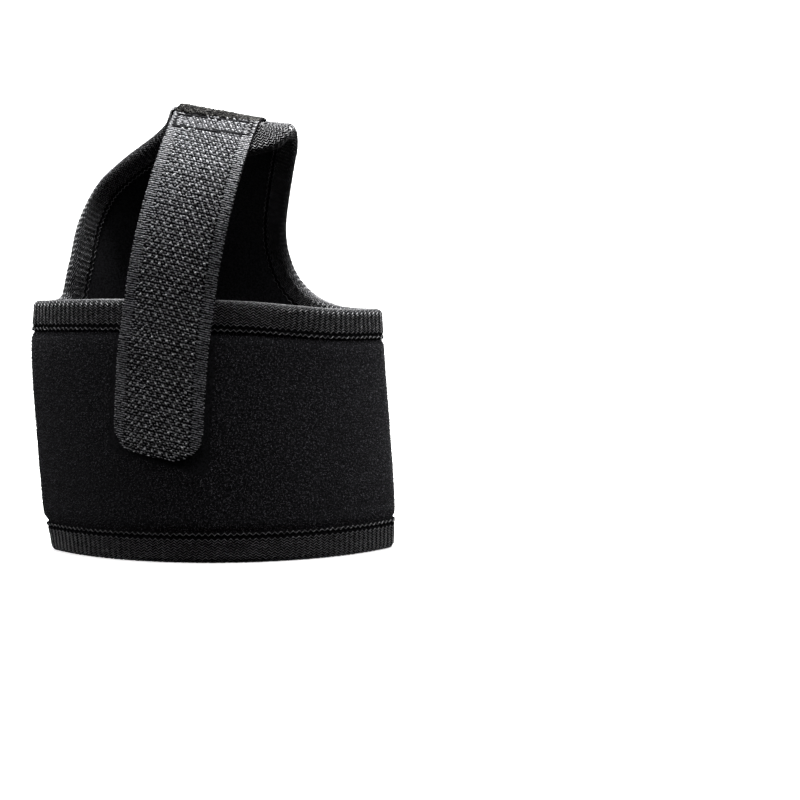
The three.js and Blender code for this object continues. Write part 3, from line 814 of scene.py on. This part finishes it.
def pillows(strap, middles, half_across, half_along, rise, lean_over=0.0):
    """A small raised pillow of yarn at each (across, along) middle."""
    share_across = PILLOW[None, None, :]
    share_along = PILLOW[None, :, None]
    lift = np.minimum(PILLOW_RISE[:, None], PILLOW_RISE[None, :])
    size = random.uniform(*YARN_SIZES, (len(middles), 1, 1))
    middles = middles + random.normal(0, YARN_STRAYS, middles.shape)
    across = middles[:, 0, None, None] + size * (half_across * share_across + lean_over * share_along)
    along = middles[:, 1, None, None] + size * half_along * share_along
    along = np.clip(along, 0, strap.end_at(across))
    points = strap.at(across, along, GROUND_UP + size * rise * lift[None])
    return points.reshape(-1, 3), many_grids(len(middles), len(PILLOW), len(PILLOW))[:, ::-1]


def lattice(strap, low, high, pitch_across, pitch_along, margin=0.25, shift=0.5):
    """Middles in staggered rows between two ways across, as far as the strap's end."""
    across = np.arange(low + pitch_across / 2, high, pitch_across)
    along = np.arange(pitch_along / 2, strap.end.max(), pitch_along)
    odd = (np.arange(len(along)) % 2)[:, None]
    middles = stacked(across[None, :] + odd * shift * pitch_across, along[:, None]).reshape(-1, 2)
    inside = (middles[:, 0] < high) & (middles[:, 1] < strap.end_at(middles[:, 0]) - margin)
    return middles[inside]


def woven(middles):
    """The middles that lie on the whole weave, past the frayed end and clear of the seam."""
    past_fray = middles[:, 1] > FRAYED_TO + BOX_SLOPE * middles[:, 0]
    return middles[past_fray & (from_seam(middles) > SEAM_HALF)]


def joined(*parts):
    points = []
    faces = []
    first = 0
    for some_points, some_faces in parts:
        points.append(some_points)
        faces.append(some_faces + first)
        first += len(some_points)
    return np.vstack(points), np.vstack(faces)


# The strap's weave: floats in its field, fine ribs along both selvedges, and filaments between the floats
SELVEDGE = 3.4
FIELD_HALF = STRAP_WIDTH / 2 - SELVEDGE
RIB_PITCH = 0.74
FINE_RIB_PITCH = 0.6
RIB_PIECE = 0.95
FLOAT_PITCH = 0.96
FILAMENT_PITCH = 2.0
FILAMENT_MARGIN = 0.6
FIELD_STARTS_OUT = 0.25
LEFT_RIBS_START_OUT = 0.2
RIGHT_RIBS_START_IN = 0.1
RIB_STAGGER = 0.4
FLOAT_YARN = dict(half_across=0.41, half_along=0.22, rise=0.3, lean_over=0.12)
RIB_YARN = dict(half_across=0.58, half_along=0.18, rise=0.16)
FILAMENT_YARN = dict(half_across=0.3, half_along=0.26, rise=0.5)


def strap_weave_piece(strap):
    edge = STRAP_WIDTH / 2
    field = lattice(strap, -FIELD_HALF - FIELD_STARTS_OUT, FIELD_HALF, FLOAT_PITCH, RIB_PITCH)
    sides = [(-edge - LEFT_RIBS_START_OUT, -FIELD_HALF), (FIELD_HALF - RIGHT_RIBS_START_IN, edge)]
    ribs = [lattice(strap, *side, RIB_PIECE, FINE_RIB_PITCH, shift=RIB_STAGGER) for side in sides]
    points, faces = joined(
        pillows(strap, woven(field), **FLOAT_YARN),
        pillows(strap, woven(np.vstack(ribs)), **RIB_YARN),
    )
    # The floats and ribs carry the strap yarn's painted highlight
    return finish_piece("hook_tape_weave", points, faces, strap_yarn_and_painted_highlight)


def strap_filament_piece(strap):
    middles = lattice(strap, -FIELD_HALF, FIELD_HALF, FILAMENT_PITCH, 2 * RIB_PITCH, margin=FILAMENT_MARGIN)
    points, faces = pillows(strap, woven(middles), **FILAMENT_YARN)
    # The filaments' near-white colour is a painted glint
    return finish_piece("hook_tape_filaments", points, faces, filament_painted_glint)


def box_stitches(strap):
    """A box of dark stitches that holds the strap to the tongue."""
    along, aside, up = stitch_rings()
    lift = GROUND_UP + up
    across = stitch_middles(2 * BOX_HALF, BOX_PITCH) - BOX_HALF + along
    down = BOX_TOP + stitch_middles(BOX_BOTTOM - BOX_TOP, BOX_PITCH) + along
    sets = [strap.at(across, way + BOX_SLOPE * across - aside, lift) for way in (BOX_TOP, BOX_BOTTOM)]
    sets += [strap.at(side + aside, down + BOX_SLOPE * side, lift) for side in (-BOX_HALF, BOX_HALF)]
    return stitches_piece("box_stitches", sets)


# Round threads through points, for hooks and cut ends
STEEP = 0.9


def threads(paths, radius, sides):
    """Tubes along paths, an array of tubes x points x 3; radius for each tube and point."""
    count, length = paths.shape[:2]
    along = unit(np.gradient(paths, axis=1))
    is_flat = np.abs(along[..., 2:]) < STEEP
    spare = np.where(is_flat, np.array([0.0, 0.0, 1.0]), np.array([1.0, 0.0, 0.0]))
    side = unit(np.cross(along, spare))
    other = np.cross(along, side)
    turn = np.arange(sides) * 2 * math.pi / sides
    ring = side[:, :, None] * np.cos(turn)[:, None] + other[:, :, None] * np.sin(turn)[:, None]
    points = paths[:, :, None] + radius[..., None, None] * ring
    return points.reshape(-1, 3), tube_faces(count, length, sides)


# Hooks on the strap's underside
HOOK_PITCH_ACROSS = 1.25
HOOK_PITCH_ALONG = 1.6
HOOK_FREE_FROM = 16.0
HOOK_FREE_TO_MEETING = 8.0
HOOK_HEIGHT = 0.75
HOOK_LENGTH = 0.32
HOOK_ASIDE = 0.12
HOOK_RADIUS = 0.08
HOOK_SIDES = 5
HOOK_ALONG = np.array([0, 0, 0.15, 0.6, 1.1, 1.3])
HOOK_DROP = np.array([-0.05, 0.45, 0.8, 1.0, 0.85, 0.6])


def hooks_piece(strap):
    """Small hooks on the strap's underside, where it is free of the cloth."""
    middles = lattice(strap, -FIELD_HALF, FIELD_HALF, HOOK_PITCH_ACROSS, HOOK_PITCH_ALONG)
    free_to = strap.meets - HOOK_FREE_TO_MEETING
    middles = middles[(middles[:, 1] > HOOK_FREE_FROM) & (middles[:, 1] < free_to)]
    across = middles[:, 0, None] + HOOK_ASIDE * np.linspace(0, 1, len(HOOK_ALONG))
    along = middles[:, 1, None] + HOOK_LENGTH * HOOK_ALONG
    paths = strap.at(across, along, GROUND_DOWN - HOOK_HEIGHT * HOOK_DROP)
    points, faces = threads(paths, np.full(paths.shape[:2], HOOK_RADIUS), HOOK_SIDES)
    # The hooks share the filaments' near-white colour, a painted glint
    return finish_piece("hooks", points, faces, filament_painted_glint)


# Loose yarn at the strap's cut end
FRAYED_YARNS = 1500
FRAYED_LENGTH = (0.7, 2.0)
FRAYED_RADIUS = (0.07, 0.14)
FRAYED_HEIGHT = (0.05, 0.55)
FRAYED_TAPER = 0.85
FRAYED_BEND = 0.5
FRAYED_FROM = 0.2
FRAYED_INSET = 0.4
FRAYED_OFF = 0.02
FRAYED_POINTS = 5
FRAYED_SIDES = 4


def frayed_end_piece(strap):
    """Loose yarn that lies tangled over the strap's cut end."""
    edge = STRAP_WIDTH / 2 - FRAYED_INSET
    across = random.uniform(-edge, edge, FRAYED_YARNS)
    along = random.uniform(FRAYED_FROM, FRAYED_TO - FRAYED_INSET, FRAYED_YARNS) + BOX_SLOPE * across
    length = random.uniform(*FRAYED_LENGTH, FRAYED_YARNS)[:, None]
    turn = random.uniform(0, 2 * math.pi, FRAYED_YARNS)[:, None]
    share = np.linspace(-0.5, 0.5, FRAYED_POINTS)[None, :]
    bend = random.normal(0, FRAYED_BEND, FRAYED_YARNS)[:, None] * share**2
    path_across = across[:, None] + length * (share * np.cos(turn) - bend * np.sin(turn))
    path_along = along[:, None] + length * (share * np.sin(turn) + bend * np.cos(turn))
    height = random.uniform(*FRAYED_HEIGHT, FRAYED_YARNS)
    height = (height * (1 - FRAYED_TAPER * smoothstep(across, 0, edge)))[:, None]
    lift = GROUND_UP + FRAYED_OFF + height * (1 - (2 * share) ** 2)
    paths = strap.at(np.clip(path_across, -edge, edge), np.maximum(path_along, 0), lift)
    radius = np.broadcast_to(random.uniform(*FRAYED_RADIUS, FRAYED_YARNS)[:, None], paths.shape[:2])
    points, faces = threads(paths, radius, FRAYED_SIDES)
    return finish_piece("frayed_end", points, faces, cut_yarn)


# The band
BAND_COLUMNS = 150
RING_ROWS = 80
TONGUE_ROWS = 90
TONGUE_FOOT_LEFT = -50.0
TONGUE_FOOT_RIGHT = 32.0
PLUMP_FROM = 8.3
PLUMP_FULL = 10.5
NAP = 0.05
SAME_TO_DECIMALS = 4


def inset_edge(rows, distance, reverse):
    rows = rows[::-1] if reverse else rows
    along = np.gradient(cloth_point(rows), axis=0)
    heading = unit(np.cross(along, cloth_frame(rows)[2]))
    places, _ = walk(rows, heading, distance)
    return places[::-1] if reverse else places


def cut_from(cut, way):
    """A cut edge from where it first comes within a way round of the middle of the back."""
    i = max(int(np.argmax(np.abs(cut[:, 0]) <= abs(way))), 1)
    part = (way - cut[i - 1, 0]) / (cut[i, 0] - cut[i - 1, 0])
    return np.vstack([lerp(cut[i - 1], cut[i], part)[None], cut[i:]])


def even_places(rows, count):
    lengths = lengths_along(cloth_point(rows))
    return resampled(rows, lengths, np.linspace(0, lengths[-1], count))


def side_to_side(columns):
    """Ways from the left side to the right one, closer together in the side folds."""
    stretched = ARC_LENGTH + FOLD_LENGTH
    want = np.linspace(-stretched, stretched, columns + 1)
    over = np.maximum(np.abs(want) - ARC_LENGTH, 0)
    return np.sign(want) * (np.abs(want) - over / 2)


def band_patches():
    """Nets of places that cover the band: the front, the back up to the tongue's foot, and the tongue."""
    ways = side_to_side(BAND_COLUMNS)
    rise = np.linspace(0, 1, RING_ROWS + 1)[:, None]
    front_tops = top_height(ways)[None, :] - EDGE_INSET
    front = stacked(-HALF_ROUND - ways[None, :], lerp(EDGE_INSET, front_tops, rise))
    left_cut = inset_edge(edge_through(TONGUE_LEFT), EDGE_INSET, reverse=True)
    right_cut = inset_edge(edge_through(TONGUE_RIGHT), EDGE_INSET, reverse=False)
    left = int(np.argmin(np.abs(ways - TONGUE_FOOT_LEFT)))
    right = int(np.argmin(np.abs(ways - TONGUE_FOOT_RIGHT)))
    left_edge = cut_from(left_cut, ways[left])
    right_edge = cut_from(right_cut, ways[right])
    tops = np.empty(len(ways))
    tops[:left] = [cut_from(left_cut, way)[0, 1] for way in ways[:left]]
    tops[right:] = [cut_from(right_cut, way)[0, 1] for way in ways[right:]]
    across = (ways[left:right + 1] - ways[left]) / (ways[right] - ways[left])
    tops[left:right + 1] = lerp(left_edge[0, 1], right_edge[0, 1], across)
    tops[[0, -1]] = top_height(ways[[0, -1]]) - EDGE_INSET
    back = stacked(ways[None, :], lerp(EDGE_INSET, tops[None, :], rise))
    left_rows = even_places(left_edge, TONGUE_ROWS + 1)
    right_rows = even_places(right_edge, TONGUE_ROWS + 1)
    tongue = lerp(left_rows[:, None], right_rows[:, None], across[None, :, None])
    tongue[0] = back[-1, left:right + 1]
    return front, back[:, ::-1], tongue[:, ::-1], (left, right)


def merged(points, faces):
    """The same faces with points that coincide joined."""
    keys = np.round(points, SAME_TO_DECIMALS)
    _, first, same = np.unique(keys, axis=0, return_index=True, return_inverse=True)
    return first, same.ravel()[faces]


def rim_faces(outer, inner):
    """Quads between the two faces along an edge, by the numbers of its points."""
    return stacked(outer[:-1], outer[1:], inner[1:], inner[:-1])


def plumpness(points, edge_tree):
    """How far the foam swells out between the tapes, at points of its middle layer."""
    from_edge = np.array([edge_tree.find(point)[2] for point in points])
    return PLUMP * smoothstep(from_edge, PLUMP_FROM, PLUMP_FULL)


def band_piece(edge_tree):
    front, back, tongue, (left, right) = band_patches()
    places = []
    faces = []
    numbers = []
    first = 0
    for patch in (front, back, tongue):
        rows, columns = patch.shape[:2]
        places.append(patch.reshape(-1, 2))
        faces.append(grid_faces(rows, columns, first))
        numbers.append(first + np.arange(rows * columns).reshape(rows, columns))
        first += rows * columns
    places = np.vstack(places)
    faces = np.vstack(faces)
    plump = plumpness(cloth_point(places), edge_tree)
    outer = off_cloth(places, CLOTH / 2 + plump)
    inner = off_cloth(places, -CLOTH / 2)
    front_n, back_n, tongue_n = numbers
    edges = [
        front_n[0][::-1], back_n[0][::-1], front_n[-1],
        back_n[-1, :BAND_COLUMNS - right + 1], tongue_n[:, 0], tongue_n[-1], tongue_n[::-1, -1],
        back_n[-1, BAND_COLUMNS - left:],
    ]
    rims = np.vstack([rim_faces(edge, edge + first) for edge in edges])
    points = np.vstack([outer, inner])
    kept, faces = merged(points, np.vstack([faces, faces[:, ::-1] + first, rims]))
    points = points[kept]
    nap = random.normal(0, NAP, len(kept)) * (kept < first) * np.r_[plump, plump][kept] / PLUMP
    outward = np.vstack([outer - inner, outer - inner])[kept]
    points = points + nap[:, None] * unit(outward)
    piece = finish_piece("foam_band", points, faces, loop_cloth)
    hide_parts("wrist_band")
    return piece


# Loop pile on the band's outside
LOOP_SPACING = 0.66
LOOP_HALF = 0.25
LOOP_RISE = 0.3
LOOP_RIBBON = 0.065
LOOP_SUNK = 0.04
LOOP_POINTS = 4
LOOP_STRAYS = 0.45
LOOP_SIZES = (0.7, 1.3)
LOOP_TILT = 0.35
PILE_TOP = 136.0
WHOLE_BACK_BELOW = 66.0
PILE_FROM_EDGE = 8.7
PILE_FROM_STRAP = 2.3


def pile_places(edge_tree, strap_tree):
    """Scattered places on the outside that neither tape nor strap covers."""
    ways = np.arange(-2 * SIDE_ROUND, 2 * SIDE_ROUND, LOOP_SPACING)
    heights = np.arange(EDGE_INSET, PILE_TOP, LOOP_SPACING)
    places = stacked(*np.meshgrid(ways, heights)).reshape(-1, 2)
    places = places + random.uniform(-LOOP_STRAYS, LOOP_STRAYS, places.shape) * LOOP_SPACING
    on_front = np.abs(places[:, 0]) > SIDE_ROUND
    from_front = np.where(places[:, 0] < 0, -HALF_ROUND - places[:, 0], HALF_ROUND - places[:, 0])
    left = edge_through(TONGUE_LEFT)
    right = edge_through(TONGUE_RIGHT)
    tongue_left = np.interp(places[:, 1], left[:, 1], left[:, 0])
    tongue_right = np.interp(places[:, 1], right[:, 1], right[:, 0])
    between = (places[:, 0] > tongue_left) & (places[:, 0] < tongue_right)
    on_back = between | (places[:, 1] < WHOLE_BACK_BELOW)
    places = places[np.where(on_front, places[:, 1] < top_height(from_front), on_back)]
    points = off_cloth(places, CLOTH / 2)
    clear = [
        edge_tree.find(point)[2] > PILE_FROM_EDGE and strap_tree.find(point)[2] > PILE_FROM_STRAP
        for point in points
    ]
    return places[np.array(clear)]


def pile_piece(places, plump):
    """A small loop of yarn standing at each place."""
    across, _, outward = cloth_frame(places)
    across = unit(across)
    up = unit(np.cross(across, outward))
    turn = random.uniform(0, 2 * math.pi, len(places))[:, None]
    along = np.cos(turn) * across + np.sin(turn) * up
    aside = unit(np.cross(outward, along))
    size = random.uniform(*LOOP_SIZES, (len(places), 1, 1))
    tilt = random.normal(0, LOOP_TILT, (len(places), 1, 1))
    share = np.linspace(-1, 1, LOOP_POINTS)[None, :, None]
    rise = LOOP_RISE * (1 - share**2)
    base = off_cloth(places, CLOTH / 2 + plump - LOOP_SUNK)[:, None]
    middle = base + size * (LOOP_HALF * share * along[:, None] + rise * outward[:, None])
    middle = middle + size * tilt * rise * aside[:, None]
    half_ribbon = LOOP_RIBBON * aside[:, None]
    points = np.stack([middle - half_ribbon, middle + half_ribbon], axis=2)
    faces = many_grids(len(places), LOOP_POINTS, 2)[:, ::-1]
    return finish_piece("loop_pile", points.reshape(-1, 3), faces, loop_yarn)


def tree_of(points):
    tree = kdtree.KDTree(len(points))
    for i, point in enumerate(points):
        tree.insert(point, i)
    tree.balance()
    return tree


# Build everything
upper_strip = Strip(upper_edge(), closed=False, splay=FLAP_SPLAY, spread=FLAP_SPREAD)
lower_strip = Strip(lower_edge(), closed=True)
strap = Strap()
edge_tree = tree_of(np.vstack([upper_strip.edge, lower_strip.edge]))
strap_tree = tree_of(strap.points[::2, ::2].reshape(-1, 3))

upper_tape = tape_ground_piece("upper_tape", upper_strip, "upper_binding")
lower_tape = tape_ground_piece("lower_tape", lower_strip, "lower_binding")
upper_weave = tape_weave_piece("upper_tape_weave", upper_strip)
lower_weave = tape_weave_piece("lower_tape_weave", lower_strip)
upper_stitches = binding_stitches("upper_tape_stitches", upper_strip)
lower_stitches = binding_stitches("lower_tape_stitches", lower_strip)

hook_tape = strap_ground_piece(strap)
strap_weave = strap_weave_piece(strap)
strap_filaments = strap_filament_piece(strap)
stitch_box = box_stitches(strap)
strap_hooks = hooks_piece(strap)
frayed_end = frayed_end_piece(strap)

band = band_piece(edge_tree)
loops_at = pile_places(edge_tree, strap_tree)
pile = pile_piece(loops_at, plumpness(cloth_point(loops_at), edge_tree))

# Floor that sweeps up into a backdrop all round, in metres
FLOOR_RADIUS = 1.4
FLOOR_START = 0.001
SWEEP_RADIUS = 0.5
SWEEP_TOP = 2.4
SWEEP_STEPS = 16
SWEEP_SIDES = 64
SWEEP_GLOW = 0.75
PAPER = (0.9, 0.9, 0.9, 1)
WHITE = (1, 1, 1, 1)


def sweep():
    turn = np.linspace(0, math.pi / 2, SWEEP_STEPS)
    curve = stacked(FLOOR_RADIUS + SWEEP_RADIUS * np.sin(turn), SWEEP_RADIUS * (1 - np.cos(turn)))
    profile = np.vstack([[FLOOR_START, 0], curve, [FLOOR_RADIUS + SWEEP_RADIUS, SWEEP_TOP]])
    round_turn = np.arange(SWEEP_SIDES) * 2 * math.pi / SWEEP_SIDES
    out, up = profile[:, None, 0], profile[:, None, 1]
    points = stacked(out * np.cos(round_turn), out * np.sin(round_turn), up).reshape(-1, 3)
    mesh = bpy.data.meshes.new("sweep")
    faces = grid_faces(len(profile), SWEEP_SIDES, around=True)
    mesh.from_pydata(points.tolist(), [], faces.tolist())
    mesh.polygons.foreach_set("use_smooth", np.ones(len(mesh.polygons), bool))
    nodes = Nodes("sweep_paper")
    nodes.set(Base_Color=PAPER, Roughness=0.9, Specular_IOR_Level=0.1)
    nodes.set(Emission_Color=WHITE, Emission_Strength=SWEEP_GLOW)
    mesh.materials.append(nodes.material)
    floor = bpy.data.objects.new("sweep", mesh)
    floor.visible_diffuse = False
    floor.visible_glossy = False
    bpy.context.scene.collection.objects.link(floor)


# Lights: name, place, what it points at, size in metres and power in watts
LIGHTS = [
    ("overhead", (0.04, 0.13, 1.0), (0, 0, 0), (0.4, 0.5), 26),
    ("front", (0.05, -0.35, 1.0), (0, 0, 0.08), (0.3, 0.3), 1.0),
    ("left", (-0.8, -0.15, 0.6), (0, 0, 0.06), (0.4, 0.4), 2.3),
    ("right", (0.8, -0.15, 0.6), (0, 0, 0.06), (0.4, 0.4), 2.8),
    ("backdrop", (0.0, 0.6, 1.5), (0, 1.8, 0.3), (2.0, 0.5), 60),
]
WORLD_GLOW = 0.02


def area_light(name, place, target, size, power):
    light = bpy.data.lights.new(name, "AREA")
    light.shape = "RECTANGLE"
    light.size, light.size_y = size
    light.energy = power
    lamp = bpy.data.objects.new(name, light)
    lamp.location = place
    lamp.rotation_euler = (Vector(target) - Vector(place)).to_track_quat("-Z", "Y").to_euler()
    bpy.context.scene.collection.objects.link(lamp)


def world_light(strength):
    world = bpy.data.worlds.new("studio")
    world.use_nodes = True
    background = world.node_tree.nodes["Background"]
    background.inputs["Color"].default_value = WHITE
    background.inputs["Strength"].default_value = strength
    bpy.context.scene.world = world


# Camera: as the photo was taken, by where straight ahead lies in a picture 800 pixels wide
CAMERA_PLACE = Vector((34, -500, 79)) * MM
FOCAL_PIXELS = 1797.0
PICTURE = 800.0
AHEAD_X = 337.0
AHEAD_Y = 265.0
SENSOR = 36.0
NEAREST = 0.01


def photo_camera():
    data = bpy.data.cameras.new("camera")
    data.sensor_width = SENSOR
    data.lens = FOCAL_PIXELS / PICTURE * SENSOR
    data.clip_start = NEAREST
    camera = bpy.data.objects.new("camera", data)
    yaw = math.atan2(PICTURE / 2 - AHEAD_X, FOCAL_PIXELS)
    tilt = math.atan2(PICTURE / 2 - AHEAD_Y, math.hypot(FOCAL_PIXELS, PICTURE / 2 - AHEAD_X))
    turn = Matrix.Rotation(-yaw, 4, "Z") @ Matrix.Rotation(math.pi / 2 - tilt, 4, "X")
    camera.matrix_world = Matrix.Translation(CAMERA_PLACE) @ turn
    bpy.context.scene.collection.objects.link(camera)
    bpy.context.scene.camera = camera


sweep()
world_light(WORLD_GLOW)
for light in LIGHTS:
    area_light(*light)
photo_camera()
bpy.context.scene.view_settings.view_transform = "Standard"
